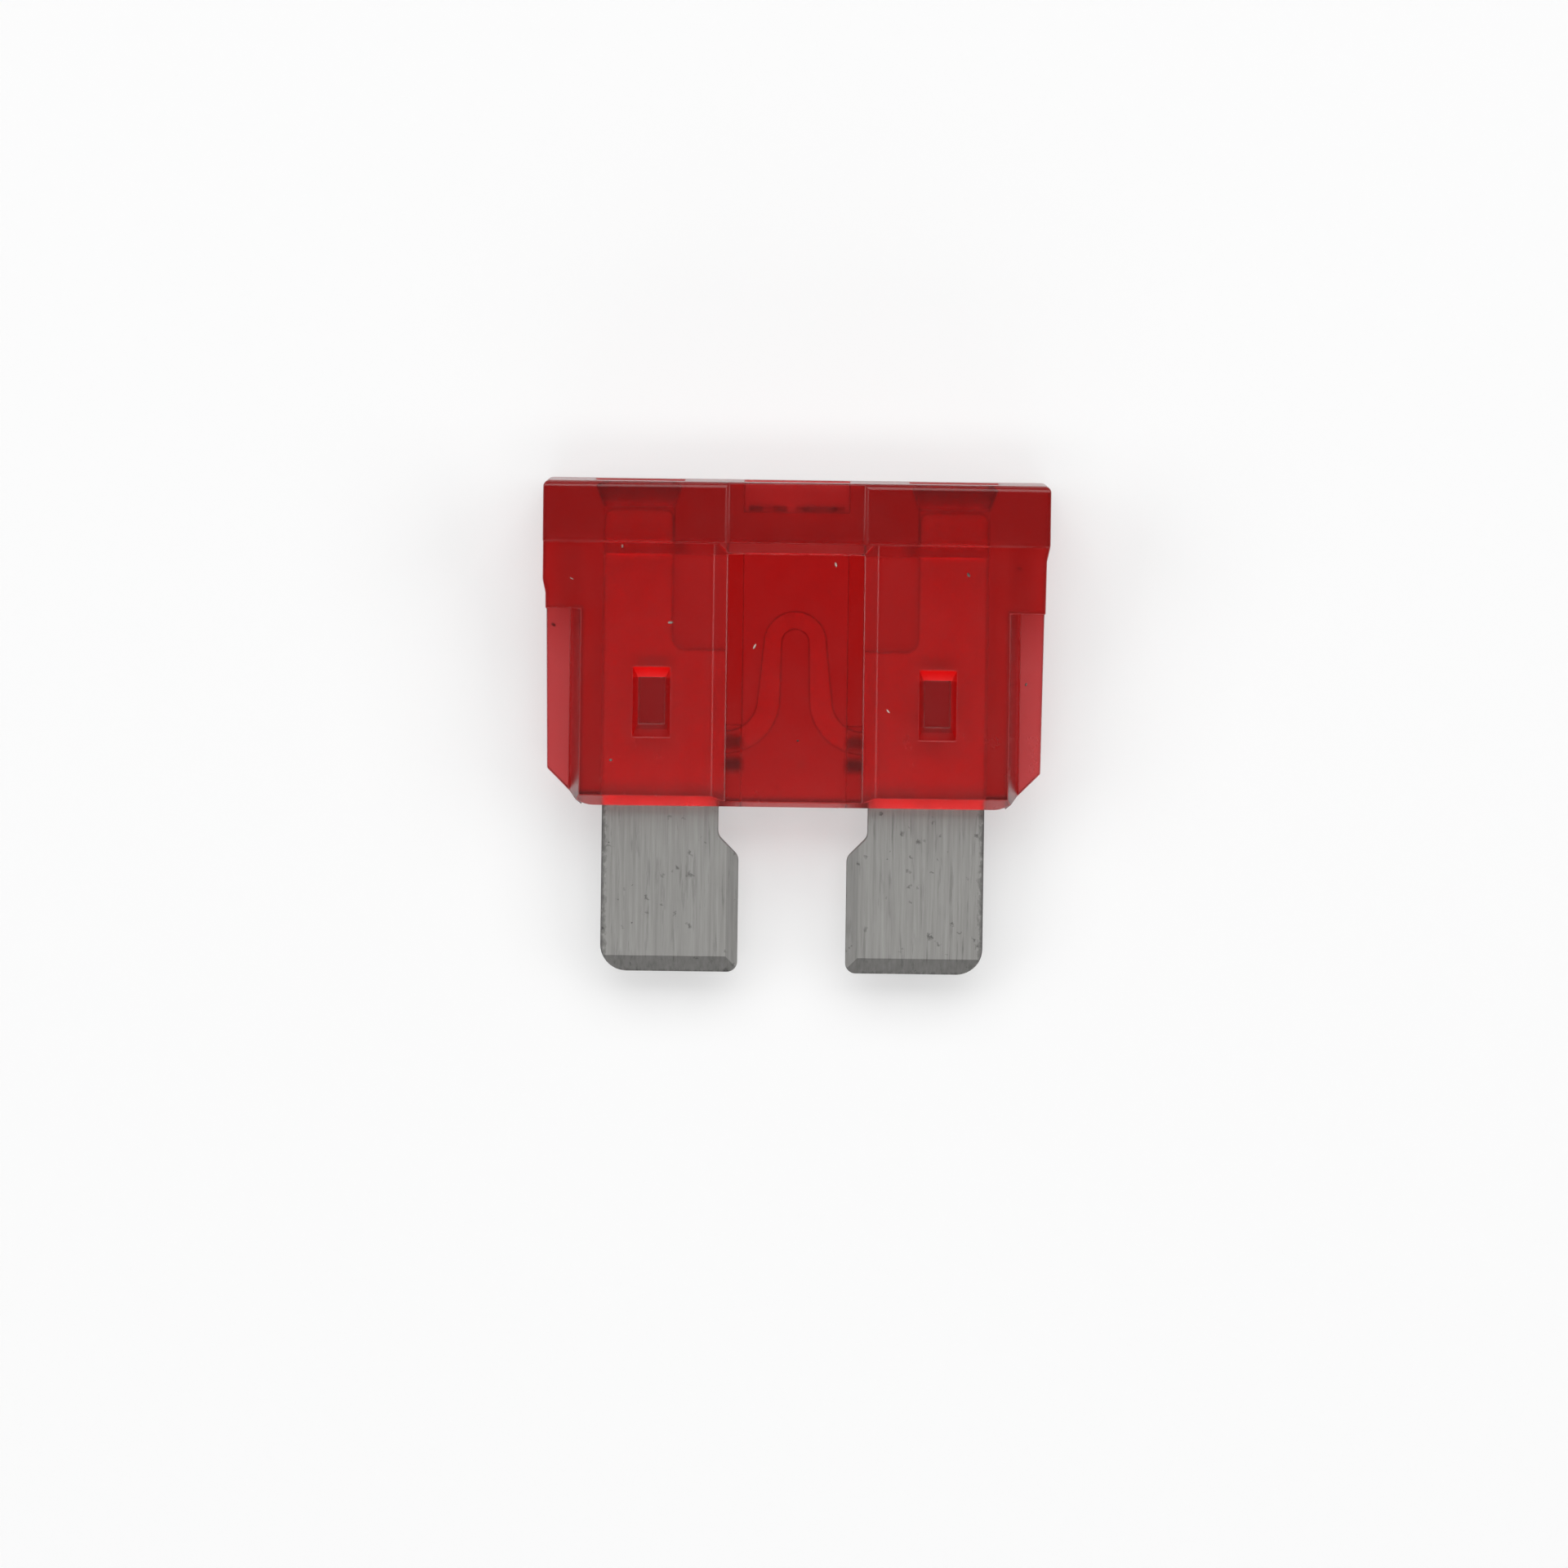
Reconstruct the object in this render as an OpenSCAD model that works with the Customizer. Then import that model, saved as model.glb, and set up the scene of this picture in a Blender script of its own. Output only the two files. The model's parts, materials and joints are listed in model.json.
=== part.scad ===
// Plug-in blade fuse: a see-through moulded housing over a one-piece stamped element.
// The fuse lies on its back, with X across it, Y towards its head and Z up out of its front.
// Heights in the names below are measured along the fuse, from the open end of the housing.

/* [Head] */
// Width across the head
head_w = 19.1; // [18.9:0.05:21]
// Height of the head
head_h = 2.3; // [1.9:0.05:3]
// Thickness of the head, front to back
head_t = 5.1; // [4.7:0.05:6]
// Radius at the head's corners and along its top edges
head_r = 0.25; // [0.1:0.05:0.6]
// Width of the shallow panel in the middle of each face of the head
panel_w = 5.1; // [3:0.05:8]
// Depth of that panel
panel_d = 0.12; // [0.05:0.01:0.3]
// Width of the rating pocket in the top of the head
pocket_w = 4; // [2.5:0.1:5]
// Thickness of the rating pocket, front to back
pocket_t = 2.9; // [1.5:0.1:3.6]
// Depth of the rating pocket
pocket_d = 1.15; // [0.4:0.05:1.6]
// Width of each test opening at its mouth
mouth_w = 3.4; // [2.9:0.1:4]
// Thickness of each test opening at its mouth
mouth_t = 2.8; // [1:0.1:3.4]
// Depth of the sloping part of each test opening
mouth_d = 1; // [0.5:0.05:1.5]

/* [Rating] */
// Height of the raised figures on the pocket's floor, front to back
figure_l = 2.2; // [1.2:0.05:2.6]
// Relief of the figures
figure_h = 0.25; // [0.1:0.01:0.5]
// Width of their strokes
figure_stroke = 0.42; // [0.2:0.02:0.6]
// Width of the first figure
one_w = 1.42; // [0.8:0.02:1.7]
// Width of the second figure
zero_w = 1.86; // [1.4:0.02:2]
// Radius at the second figure's corners
zero_r = 0.8; // [0.65:0.05:0.9]
// Space between the figures
figure_gap = 0.34; // [0.2:0.02:0.6]

/* [Body] */
// Height of the housing, from its open end to the top of its head
housing_h = 12.3; // [11.5:0.05:14]
// Thickness of the pillars over the terminals
pillar_t = 4.1; // [3.6:0.05:4.5]
// Plastic beyond the terminals' outer edges on each pillar
pillar_wall = 0.85; // [0.5:0.05:1.2]
// Run of each sloping flank from a pillar down to its fin
flank_run = 0.4; // [0.1:0.05:0.6]
// Width across the fins below the shoulders
fin_top_w = 18.88; // [18.6:0.02:18.9]
// Width across the fins at the bottom corners
fin_low_w = 18.68; // [18.3:0.02:18.8]
// Height of the fins
fin_h = 7.45; // [5:0.05:8]
// Thickness of the fins
fin_t = 1.1; // [0.8:0.05:2]
// Size of the cut across each bottom corner
corner_cut = 1.35; // [1:0.05:2]
// Radius where each corner cut runs into the open end
corner_r = 1.1; // [0.3:0.05:1.5]
// Drop of the left shoulder below the head at the head's full width
left_shoulder = 1.45; // [0.05:0.05:1.8]
// Drop of the right shoulder below the head at the head's full width
right_shoulder = 0.05; // [0.05:0.05:1.8]
// Height over which each shoulder draws in to its fin
shoulder_taper = 0.5; // [0.2:0.05:0.7]
// Height of the bevel along both long edges of the open end
lip_h = 0.42; // [0.2:0.02:0.8]
// Run of that bevel into the housing's thickness
lip_run = 0.85; // [0.3:0.05:1]

/* [Window] */
// Width of the flat window between the pillars
window_w = 5.2; // [4.8:0.05:5.6]
// Thickness of the housing in the window
window_t = 3.2; // [2.8:0.05:3.5]
// Run of the slopes from the window up to the pillars
window_run = 0.5; // [0.1:0.05:0.8]
// Height of the slope that closes the window under the head
brow_h = 0.4; // [0.1:0.05:0.8]
// Run of that slope
brow_run = 0.3; // [0.1:0.05:0.4]
// Width of the link chamber
chamber_w = 4; // [3.6:0.05:4.6]
// Thickness of the link chamber, front to back
chamber_t = 1.1; // [0.8:0.05:1.6]
// Height of the link chamber
chamber_h = 9.9; // [8.5:0.05:10.4]
// Size of the slope along the chamber's roof
roof_cut = 0.3; // [0.1:0.05:0.35]

/* [Slots] */
// Height at which the terminal slots start to narrow
lead_y = 9.5; // [8:0.05:9.8]
// Height over which they narrow to fit the tabs
lead_h = 0.55; // [0.2:0.05:0.7]
// Room in front of and behind the terminals below that
slot_room = 0.6; // [0.3:0.02:0.68]
// Clearance round the tabs and along the terminals' edges
slot_clear = 0.05; // [0.02:0.01:0.12]
// Room in front of and behind the link's roots in the walls of the chamber
root_room = 0.12; // [0.05:0.01:0.17]
// Clearance round the stakes in the terminals' apertures
stake_clear = 0.08; // [0.03:0.01:0.2]

/* [Stakes] */
// Height of the stakes' middle
stake_h = 3.97; // [3:0.05:4.5]
// Distance of the stakes' middle from the terminals' outer edges
stake_inset = 1.85; // [1.4:0.05:2.6]
// Width of each stake
stake_w = 1.03; // [0.7:0.01:1.3]
// Length of each stake along the fuse
stake_l = 1.8; // [1.2:0.05:2.2]
// Width of the dimple over each stake
dimple_w = 1.42; // [1.31:0.01:1.8]
// Length of the dimple over each stake
dimple_l = 2.66; // [2.25:0.02:3]
// Depth of the dimples
dimple_d = 0.95; // [0.4:0.05:1]

/* [Blades] */
// Distance over the blades' outer edges
blade_spread = 14.5; // [14:0.05:15]
// Width of each blade
blade_w = 5.2; // [4.8:0.05:5.4]
// Thickness of the sheet
blade_t = 0.65; // [0.5:0.01:0.8]
// Length of the blades below the housing
blade_len = 6.35; // [5:0.05:8]
// Width of each terminal above its blade's shoulder
neck_w = 4.42; // [4.2:0.02:4.7]
// Length of the neck between the housing and its blade's shoulder
neck_len = 1.15; // [0.6:0.05:1.6]
// Radius of both bends in the blade's shoulder
shoulder_r = 0.45; // [0.1:0.05:0.6]
// Radius of each tip's outer corner
tip_r = 1; // [0.4:0.05:1.5]
// Radius of each tip's inner corner
tip_inner_r = 0.4; // [0.1:0.05:1]
// Length of the bevels that thin the tips
tip_bevel = 0.6; // [0.2:0.05:1]
// Thickness left at the tips
tip_t = 0.3; // [0.1:0.02:0.44]
// Width of the bevels along the blades' inner edges
edge_bevel = 0.45; // [0.2:0.05:0.8]
// Thickness left at the blades' inner edges
edge_t = 0.38; // [0.2:0.02:0.48]

/* [Terminals] */
// Height of the wide part of each terminal
wide_h = 5.9; // [5.3:0.05:7]
// Width of the tab above the wide part
tab_w = 2.6; // [2.2:0.05:2.8]
// Radius between the wide part and its tab
tab_r = 0.5; // [0.2:0.05:0.8]
// Radius at the top corners of each tab
tab_top_r = 0.35; // [0.1:0.05:0.6]
// Depth of the tabs' tops below the top of the head
tab_drop = 1.1; // [1.05:0.05:2]

/* [Link] */
// Thickness of the link
link_t = 0.2; // [0.1:0.01:0.45]
// Width of the link along its feet
leg_w = 0.88; // [0.5:0.02:1]
// Width of the link over its arch
arch_w = 0.7; // [0.4:0.02:0.8]
// Inner radius of the arch
arch_r = 0.5; // [0.3:0.05:0.8]
// Height of the arch's centre
arch_h = 6.2; // [5.2:0.05:7.5]
// Distance of each leg's foot from the middle of the fuse
leg_x = 0.98; // [0.7:0.02:1.2]
// Radius of the bend in each foot, along its middle
foot_r = 1.64; // [1:0.02:1.8]
// Height of the centre of that bend
foot_h = 4.05; // [3:0.05:4.5]

/* [Hidden] */
$fn = 64;

// How far a cutter runs out past the face that it opens
overrun = 1;

head_y = housing_h - head_h;
outer_x = blade_spread / 2;
neck_x = outer_x - neck_w;
blade_x = outer_x - blade_w;
tab_x = outer_x - tab_w;
tab_mid = outer_x - tab_w / 2;
tab_y = housing_h - tab_drop;
stake_x = outer_x - stake_inset;
pillar_x = outer_x + pillar_wall;
window_x = window_w / 2;
slot_t = blade_t + 2 * slot_clear;
foot_x = leg_x + foot_r;
root_low = foot_h - foot_r - leg_w / 2;
// Height at which the upper side of each foot passes through the wall of the chamber
bend_r = foot_r - leg_w / 2 - slot_clear;
root_slot_h = foot_h - sqrt(max(pow(bend_r, 2) - pow(foot_x - chamber_w / 2, 2), 0));

// The fuse comes to rest on the head's lower back edge and on the back edges of the open end
rest_tilt = atan2((head_t - pillar_t) / 2, head_y - lip_h);
rest_lift = pillar_t / 2 * cos(rest_tilt) - lip_h * sin(rest_tilt);
rest_top = (housing_h - head_r) * cos(rest_tilt) + (head_t / 2 - head_r) * sin(rest_tilt) + head_r;
rest_low = -blade_len * cos(rest_tilt) - tip_t / 2 * sin(rest_tilt);

housing_colour = [0.78, 0.07, 0.08, 0.6];
element_colour = [0.6, 0.6, 0.58];

function flip(points, sx, sy) = [for (p = points) [p.x * sx, p.y * sy]];
function backwards(points) = [for (i = [len(points) - 1:-1:0]) points[i]];
// Closed outline from the points of its first quarter, mirrored across both axes
function four_way(quarter) = concat(
    quarter,
    backwards(flip(quarter, 1, -1)),
    flip(quarter, -1, -1),
    backwards(flip(quarter, -1, 1))
);

module lay_down() {
    translate([0, -(rest_top + rest_low) / 2, rest_lift])
        rotate([rest_tilt, 0, 0])
            children();
}

module both_sides() {
    children();
    mirror([1, 0, 0])
        children();
}

module both_faces() {
    children();
    mirror([0, 0, 1])
        children();
}

// Runs an outline in Y and Z across the fuse
module along_x(width) {
    rotate([90, 0, 90])
        linear_extrude(width, center = true)
            children();
}

// Runs an outline in X and Z up the fuse
module along_y(from, to) {
    translate([0, to, 0])
        rotate([90, 0, 0])
            linear_extrude(to - from)
                children();
}

// Sliver between a corner and the arc that rounds it
module corner_web(corner, towards_a, towards_b, r) {
    a = (towards_a - corner) / norm(towards_a - corner);
    b = (towards_b - corner) / norm(towards_b - corner);
    half = acos(a * b) / 2;
    run = r / tan(half);
    difference() {
        polygon([corner, corner + a * run, corner + b * run]);
        translate(corner + (a + b) / norm(a + b) * r / sin(half))
            circle(r);
    }
}

// One side of a cutter that narrows from its mouth at zero to its floor below
module flare(mouth, base, depth) {
    polygon([
        [-base / 2, -depth],
        [base / 2, -depth],
        [mouth / 2, 0],
        [mouth / 2, overrun],
        [-mouth / 2, overrun],
        [-mouth / 2, 0],
    ]);
}

// Cutter with four sloping sides, opening upwards at the origin
module funnel(mouth, base, depth) {
    intersection() {
        along_y(-mouth.y, mouth.y)
            flare(mouth.x, base.x, depth);
        along_x(2 * mouth.x)
            flare(mouth.y, base.y, depth);
    }
}

// Outline of the housing from the front
module front_outline() {
    low_x = fin_low_w / 2;
    top_x = fin_top_w / 2;
    head_x = head_w / 2;
    base_x = low_x - corner_cut;
    right_y = head_y - right_shoulder;
    left_y = head_y - left_shoulder;
    difference() {
        polygon([
            [-base_x, 0],
            [base_x, 0],
            [low_x, corner_cut],
            [top_x, right_y - shoulder_taper],
            [head_x, right_y],
            [head_x, housing_h],
            [-head_x, housing_h],
            [-head_x, left_y],
            [-top_x, left_y - shoulder_taper],
            [-low_x, corner_cut],
        ]);
        both_sides() {
            corner_web([base_x, 0], [0, 0], [low_x, corner_cut], corner_r);
            corner_web([head_x, housing_h], [0, housing_h], [head_x, head_y], head_r);
        }
    }
}

// Outline of the housing from the side, with the rounded top edges and the bevelled open end
module side_outline() {
    half_t = head_t / 2;
    difference() {
        polygon([
            [0, lip_run - pillar_t / 2],
            [lip_h, -pillar_t / 2],
            [lip_h, -half_t],
            [housing_h, -half_t],
            [housing_h, half_t],
            [lip_h, half_t],
            [lip_h, pillar_t / 2],
            [0, pillar_t / 2 - lip_run],
        ]);
        for (side = [-1, 1])
            corner_web([housing_h, side * half_t], [0, side * half_t], [housing_h, 0], head_r);
    }
}

// Sections across the housing: fins and pillars, shoulders, and head
module fin_section() {
    polygon(four_way([
        [window_x, window_t / 2],
        [window_x + window_run, pillar_t / 2],
        [pillar_x, pillar_t / 2],
        [pillar_x + flank_run, fin_t / 2],
        [head_w, fin_t / 2],
    ]));
}

module shoulder_section() {
    polygon(four_way([
        [window_x, window_t / 2],
        [window_x + window_run, pillar_t / 2],
        [head_w, pillar_t / 2],
    ]));
}

module head_section() {
    polygon(four_way([
        [panel_w / 2, head_t / 2 - panel_d],
        [panel_w / 2 + panel_d, head_t / 2],
        [head_w, head_t / 2],
    ]));
}

// Slope that closes the window recess under the head
module brow() {
    half_t = window_t / 2;
    along_x(window_w + 2 * window_run)
        polygon([
            [head_y - brow_h, -half_t],
            [head_y, -half_t - brow_run],
            [head_y + head_h / 2, -half_t - brow_run],
            [head_y + head_h / 2, half_t + brow_run],
            [head_y, half_t + brow_run],
            [head_y - brow_h, half_t],
        ]);
}

module shell() {
    intersection() {
        linear_extrude(2 * head_t, center = true)
            front_outline();
        along_x(2 * head_w)
            side_outline();
        union() {
            along_y(-overrun, fin_h)
                fin_section();
            along_y(fin_h, head_y)
                shoulder_section();
            along_y(head_y, housing_h + overrun)
                head_section();
        }
    }
}

// Room for one terminal, narrowing to a close fit round its tab
module terminal_slot() {
    half_t = blade_t / 2 + slot_room;
    translate([outer_x - neck_w / 2, 0, 0])
        along_x(neck_w + 2 * slot_clear)
            polygon([
                [-overrun, -half_t],
                [lead_y, -half_t],
                [lead_y + lead_h, -slot_t / 2],
                [lead_y + lead_h, slot_t / 2],
                [lead_y, half_t],
                [-overrun, half_t],
            ]);
    linear_extrude(slot_t, center = true)
        translate([tab_x - slot_clear, lead_y])
            square([tab_w + 2 * slot_clear, housing_h - mouth_d / 2 - lead_y]);
}

// Room for the roots of the link in the walls between the chamber and the terminals
module root_slots() {
    linear_extrude(link_t + 2 * root_room, center = true)
        translate([-neck_x, -overrun])
            square([2 * neck_x, root_slot_h + overrun]);
}

// Room for the link, open at the bottom
module chamber() {
    half_t = chamber_t / 2;
    roof_y = chamber_h - roof_cut;
    along_x(chamber_w)
        polygon([
            [-overrun, -half_t],
            [roof_y, -half_t],
            [chamber_h, roof_cut - half_t],
            [chamber_h, half_t - roof_cut],
            [roof_y, half_t],
            [-overrun, half_t],
        ]);
}

module test_opening() {
    translate([tab_mid, housing_h, 0])
        rotate([-90, 0, 0])
            funnel([mouth_w, mouth_t], [tab_w + 2 * slot_clear, slot_t], mouth_d);
}

module rating_pocket() {
    translate([-pocket_w / 2, housing_h - pocket_d, -pocket_t / 2])
        cube([pocket_w, pocket_d + overrun, pocket_t]);
}

// Rectangle with four rounded corners
module rounded_box(size, r) {
    half = size / 2;
    difference() {
        square(size, center = true);
        for (sx = [-1, 1], sy = [-1, 1])
            corner_web([sx * half.x, sy * half.y], [0, sy * half.y], [sx * half.x, 0], r);
    }
}

module figure_one() {
    left = -one_w / 2;
    top = figure_l / 2;
    stem = figure_stroke / 2;
    polygon([
        [left, -top],
        [-left, -top],
        [-left, figure_stroke - top],
        [stem, figure_stroke - top],
        [stem, top],
        [-stem, top],
        [left, top - figure_stroke],
        [left, top - 2 * figure_stroke],
        [-stem, top - figure_stroke],
        [-stem, figure_stroke - top],
        [left, figure_stroke - top],
    ]);
}

module figure_zero() {
    difference() {
        rounded_box([zero_w, figure_l], zero_r);
        rounded_box([zero_w, figure_l] - 2 * figure_stroke * [1, 1], zero_r - figure_stroke);
    }
}

// Rating figures, raised from the floor of the pocket and read from above the head
module rating_figures() {
    figures_w = one_w + figure_gap + zero_w;
    translate([0, housing_h - pocket_d, 0])
        rotate([-90, 0, 0])
            linear_extrude(2 * figure_h, center = true) {
                translate([(one_w - figures_w) / 2, 0])
                    figure_one();
                translate([(figures_w - zero_w) / 2, 0])
                    figure_zero();
            }
}

module dimple() {
    translate([stake_x, stake_h, pillar_t / 2])
        funnel([dimple_w, dimple_l], [stake_w, stake_l], dimple_d);
}

// Plastic pressed through a terminal's aperture, from one face of its slot to the other
module stake() {
    translate([stake_x, stake_h, 0])
        cube([stake_w, stake_l, pillar_t - 2 * dimple_d], center = true);
}

module housing() {
    color(housing_colour)
        lay_down() {
            difference() {
                union() {
                    shell();
                    brow();
                }
                root_slots();
                chamber();
                rating_pocket();
                both_sides() {
                    terminal_slot();
                    test_opening();
                    both_faces()
                        dimple();
                }
            }
            rating_figures();
            both_sides()
                stake();
        }
}

// Outline of one blade with its sloping shoulder, up to the housing
module blade_outline() {
    tip_in = [blade_x, -blade_len];
    tip_out = [outer_x, -blade_len];
    slope_top = [neck_x, -neck_len];
    slope_low = [blade_x, -neck_len - (neck_x - blade_x)];
    difference() {
        union() {
            polygon([tip_in, tip_out, [outer_x, 0], [neck_x, 0], slope_top, slope_low]);
            corner_web(slope_top, [neck_x, 0], slope_low, shoulder_r);
        }
        corner_web(slope_low, slope_top, tip_in, shoulder_r);
        corner_web(tip_in, slope_low, tip_out, tip_inner_r);
        corner_web(tip_out, tip_in, [outer_x, 0], tip_r);
    }
}

// Outline of one terminal inside the housing, with its tab along the outer edge
module shank_outline() {
    inner = [tab_x, wide_h];
    translate([neck_x, -neck_len / 2])
        square([neck_w, wide_h + neck_len / 2]);
    translate([tab_x, 0])
        square([tab_w, tab_y]);
    corner_web(inner, [neck_x, wide_h], [tab_x, tab_y], tab_r);
}

module terminal() {
    difference() {
        linear_extrude(blade_t, center = true)
            difference() {
                union() {
                    blade_outline();
                    shank_outline();
                }
                corner_web([tab_x, tab_y], [tab_x, 0], [outer_x, tab_y], tab_top_r);
                corner_web([outer_x, tab_y], [tab_x, tab_y], [outer_x, 0], tab_top_r);
                translate([stake_x, stake_h])
                    square([stake_w, stake_l] + 2 * stake_clear * [1, 1], center = true);
            }
        both_faces() {
            tip_wedge();
            edge_wedge();
        }
    }
}

// Cutters for the bevels that thin a blade's tip and its inner edge
module tip_wedge() {
    fall = (blade_t - tip_t) / 2 / tip_bevel;
    along_x(2 * blade_spread)
        polygon([
            [tip_bevel - blade_len, blade_t / 2],
            [-blade_len - overrun, tip_t / 2 - fall * overrun],
            [-blade_len - overrun, blade_t / 2],
        ]);
}

module edge_wedge() {
    fall = (blade_t - edge_t) / 2 / edge_bevel;
    along_y(-blade_len - overrun, -neck_len)
        polygon([
            [blade_x + edge_bevel, blade_t / 2],
            [blade_x - overrun, edge_t / 2 - fall * overrun],
            [blade_x - overrun, blade_t / 2],
        ]);
}

// Outline of the thinned link: an arch on two legs, with feet that bend out to the terminals
module link_outline() {
    reach = foot_r + leg_w / 2;
    difference() {
        translate([0, arch_h])
            circle(arch_r + arch_w);
        translate([0, arch_h])
            circle(arch_r);
        translate([-reach, arch_h - 2 * reach])
            square(2 * reach);
    }
    both_sides() {
        polygon([
            [leg_x - leg_w / 2, foot_h],
            [leg_x + leg_w / 2, foot_h],
            [arch_r + arch_w, arch_h],
            [arch_r, arch_h],
        ]);
        intersection() {
            translate([foot_x, foot_h])
                difference() {
                    circle(reach);
                    circle(foot_r - leg_w / 2);
                }
            translate([foot_x - reach, foot_h - reach])
                square(reach);
        }
        translate([foot_x, root_low])
            square([max(neck_x - foot_x, 0) + neck_w / 4, leg_w]);
    }
}

module fuse_element() {
    color(element_colour)
        lay_down() {
            both_sides()
                terminal();
            linear_extrude(link_t, center = true)
                link_outline();
        }
}

housing();
fuse_element();
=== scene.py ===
"""Visual model of a blade fuse lying on its back, and the stage it is pictured on.

Lengths are in metres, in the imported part's frame: X across, Y towards the head, Z up from the floor.
"""

import json
from math import radians

import bmesh
import bpy
from bpy.props import FloatProperty, FloatVectorProperty, IntProperty, PointerProperty
from mathutils import Matrix, Vector


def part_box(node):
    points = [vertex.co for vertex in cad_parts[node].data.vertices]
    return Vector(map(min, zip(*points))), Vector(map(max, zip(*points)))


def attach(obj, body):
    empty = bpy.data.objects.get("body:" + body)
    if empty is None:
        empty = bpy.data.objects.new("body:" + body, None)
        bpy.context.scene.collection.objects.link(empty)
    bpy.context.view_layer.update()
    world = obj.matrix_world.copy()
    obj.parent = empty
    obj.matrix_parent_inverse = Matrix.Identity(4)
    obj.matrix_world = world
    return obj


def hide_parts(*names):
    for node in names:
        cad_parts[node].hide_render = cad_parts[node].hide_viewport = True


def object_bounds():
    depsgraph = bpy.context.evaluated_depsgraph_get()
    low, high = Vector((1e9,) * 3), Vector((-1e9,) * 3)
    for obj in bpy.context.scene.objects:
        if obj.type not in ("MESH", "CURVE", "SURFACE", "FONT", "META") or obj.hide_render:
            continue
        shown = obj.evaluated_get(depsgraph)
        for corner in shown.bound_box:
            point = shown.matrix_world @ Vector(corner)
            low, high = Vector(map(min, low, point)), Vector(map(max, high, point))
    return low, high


bl_info = {
    "name": "Blade fuse",
    "version": (1, 0, 0),
    "blender": (4, 5, 0),
    "location": "View3D > Sidebar > Blade fuse",
    "description": "Builds a see-through blade fuse and the stage it is pictured on",
    "category": "Object",
}

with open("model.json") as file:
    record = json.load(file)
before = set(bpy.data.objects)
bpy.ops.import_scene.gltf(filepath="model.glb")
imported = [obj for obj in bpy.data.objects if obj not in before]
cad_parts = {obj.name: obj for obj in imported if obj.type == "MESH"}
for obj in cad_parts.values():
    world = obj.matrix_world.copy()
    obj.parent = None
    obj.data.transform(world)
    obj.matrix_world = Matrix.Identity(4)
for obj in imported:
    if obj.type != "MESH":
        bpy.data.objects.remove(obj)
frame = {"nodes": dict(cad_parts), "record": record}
CAD_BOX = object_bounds()

# Own axes of the fuse, from the mount on top of its head
MOUNTS = {mount["name"]: mount for mount in frame["record"]["mounts"]}
ACROSS = Vector((1, 0, 0))
UP = Vector(MOUNTS["head_top"]["axis"]).normalized()
FRONT = ACROSS.cross(UP)
HEAD_TOP = Vector((0, *MOUNTS["head_top"]["pos_m"][1:]))
LEAN = FRONT.angle(Vector((0, 0, 1)))
# Levels along the fuse, of the head's top and of the housing's open end
TOP_LEVEL = HEAD_TOP.dot(UP)
MOUTH_LEVEL = min(vertex.co.dot(UP) for vertex in frame["nodes"]["housing"].data.vertices)

# Copies of the CAD meshes: points this near are merged, and seams this flat are dissolved
MERGE_DISTANCE = 0.000001
FLAT_TURN = radians(0.3)
# Edges sharper than this turn are rounded, in this many steps
SHARP_TURN = radians(24)
ROUNDING_STEPS = 3
# Faces larger than this, in square metres, are shaded flat
BROAD_AREA = 0.00000025
# A narrow face takes the shading of a broad one when the cosine between them is above this
SHARED_SHADING = 0.6
# A face of the stamping is a bevel or an edge when its cosine with the front is below this; such faces get
# painted shade
SLANT_SHADE_LEAN = 0.98

# Half-widths of the soft borders between the tints of the plastic, which are painted shade and painted light
HEAD_BORDER = 0.0001
SIDE_BORDER = 0.0002
SHOULDER_BORDER = 0.00004
TAB_BORDER = 0.00015
DIMPLE_BORDER = 0.00003
ROOT_BORDER = 0.00013
# Heights over which the metal grows cleaner and lightened, as painted light, above the open end, and takes a
# further painted light in the head
CLEAN_AND_LIT_FADE = 0.0006
HEAD_LIGHT_FADE = 0.0003
# Height of the relief that the bump of the plastic and the metal stands for
RELIEF = 0.00001
# The sheared edge is ragged between these shares of its width
SHEAR_LEAST = 0.2
SHEAR_MOST = 2
# The outlines of pits wander over this distance, half of it on either side of the noise's middle
PIT_WANDER = 0.0005
NOISE_MIDDLE = (0.5, 0.5, 0.5)

# Crumbs lie on faces whose cosine with the front or the back is above this
CRUMB_FACING = 0.9
# Crumbs lie nearer to the fuse's middle plane than this share of the housing's height as it lies
CRUMB_DEPTH = 0.46
# Largest turn of a crumb about each axis, and the smallest and largest shares of its radius
CRUMB_TURN = (6.28, 6.28, 6.28)
CRUMB_LEAST = (0.25, 0.2, 0.12)
CRUMB_MOST = (1, 0.7, 0.35)

# Lights: name, direction from the fuse, distance, width and height, and watts
LIGHTS = (
    ("light_top", (0, -0.38, 1), 0.4, (0.32, 0.09), 0.24),
    ("light_head", (0, 0.75, 1), 0.8, (1.0, 0.6), 4.5),
    ("light_blades", (0, -1, 0.45), 0.8, (0.8, 0.3), 0.7),
    ("light_left", (-1.2, 0.1, 1), 0.8, (0.6, 0.4), 1.75),
    ("light_right", (1.2, 0.1, 1), 0.8, (0.6, 0.4), 1.75),
)
# Heights in the surround where the white horizon ends, the walls start and the ceiling starts
HORIZON = 0.02
WALLS = 0.06
CEILING = 0.6
# Colour of plain white light
WHITE = (1, 1, 1, 1)
# Nearest distance that the camera sees
CLIP_START = 0.001


def length(name, description, default):
    """A length setting in metres."""
    return FloatProperty(
        name=name,
        description=description,
        default=default,
        min=0,
        precision=6,
        subtype="DISTANCE",
        unit="LENGTH",
    )


def colour(name, description, default):
    """A colour setting, in linear light."""
    return FloatVectorProperty(
        name=name, description=description, default=default, min=0, max=1, size=3, subtype="COLOR"
    )


def share(name, description, default):
    """A setting from 0 to 1."""
    return FloatProperty(name=name, description=description, default=default, min=0, max=1)


def amount(name, description, default):
    """A plain number that isn't negative."""
    return FloatProperty(name=name, description=description, default=default, min=0)


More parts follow.
